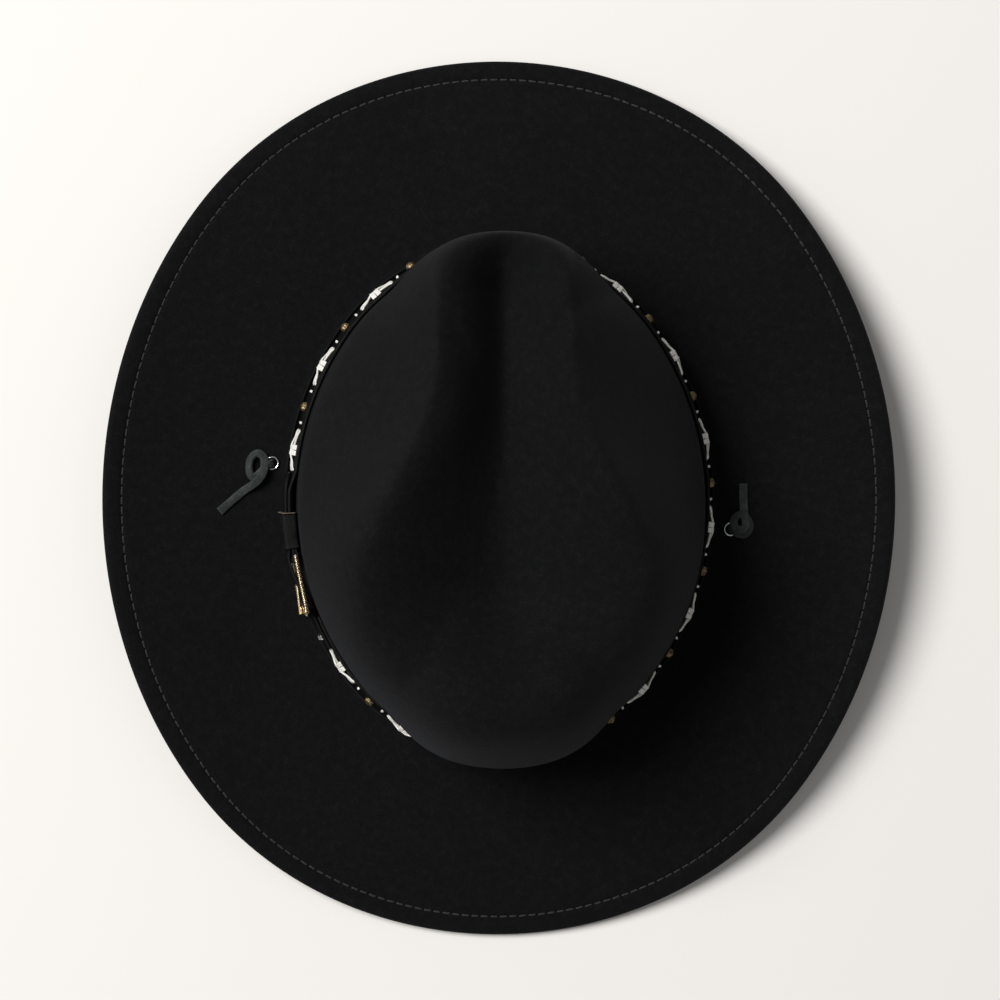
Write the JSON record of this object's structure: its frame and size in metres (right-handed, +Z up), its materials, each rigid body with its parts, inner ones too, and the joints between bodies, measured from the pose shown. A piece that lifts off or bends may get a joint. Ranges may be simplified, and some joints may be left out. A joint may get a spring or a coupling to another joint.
{
  "type": "hat",
  "caption": "Wide-brimmed black felt hat with a creased crown, a laced and studded leather band with a buckle, and a knotted chin cord.",
  "frame": {"origin": "on the floor under the middle of the crown, with the brim's front and back resting on the floor", "axes": "+Z up, -Y to the front of the hat, +X to the wearer's left, where the buckle is"},
  "size_m": [0.327, 0.3658, 0.113],
  "materials": {
    "felt": "black wool felt, brushed",
    "edge_thread": "black sewing thread",
    "sweat_leather": "brown roan leather, satin",
    "reed": "black extruded reed",
    "sweat_thread": "waxed brown thread",
    "ribbon": "black grosgrain ribbon",
    "band_leather": "black smooth leather",
    "lacing": "pale twisted rawhide lace",
    "stud_brass": "antique brass, darkened in the recesses",
    "buckle_metal": "pale gold plate, engraved",
    "rivet_metal": "nickel",
    "eyelet_metal": "nickel plate",
    "cord_leather": "dark grey green suede"
  },
  "bodies": {
    "hat": {"felt_body": "felt", "brim_edge_stitching": "edge_thread", "sweatband": "sweat_leather", "sweatband_reed": "reed", "sweatband_stitching": "sweat_thread", "sweatband_bow": "ribbon", "hat_band_strap": "band_leather", "fold_rivet": "rivet_metal", "buckle_billet": "band_leather", "billet_rivets": "rivet_metal", "buckle_frame": "buckle_metal", "buckle_bar": "buckle_metal", "band_studs": "stud_brass", "band_lacing": "lacing", "eyelet_left": "eyelet_metal", "eyelet_right": "eyelet_metal", "eyelet_washers": "eyelet_metal", "knot_left": "cord_leather", "knot_right": "cord_leather", "chin_cord": "cord_leather"},
    "prong": {"buckle_prong": "buckle_metal"},
    "keeper": {"keeper_loop": "band_leather"},
    "slider": {"cord_slider": "cord_leather"}
  },
  "joints": [
    {"name": "prong_swing", "type": "hinge", "parent": "hat", "child": "prong", "pos_m": [0.08465, 0.02358, 0.0335], "axis": [0.111, 0.022, -0.9936], "range_deg": [0, 35]},
    {"name": "keeper_travel", "type": "hinge", "parent": "hat", "child": "keeper", "pos_m": [-0.03441, 0, 0.03], "axis": [0, 0, 1], "range_deg": [-3.8, 0]},
    {"name": "slider_travel", "type": "slide", "parent": "hat", "child": "slider", "axis": [0, 1, 0], "range_m": [-0.008, 0.008]}
  ]
}
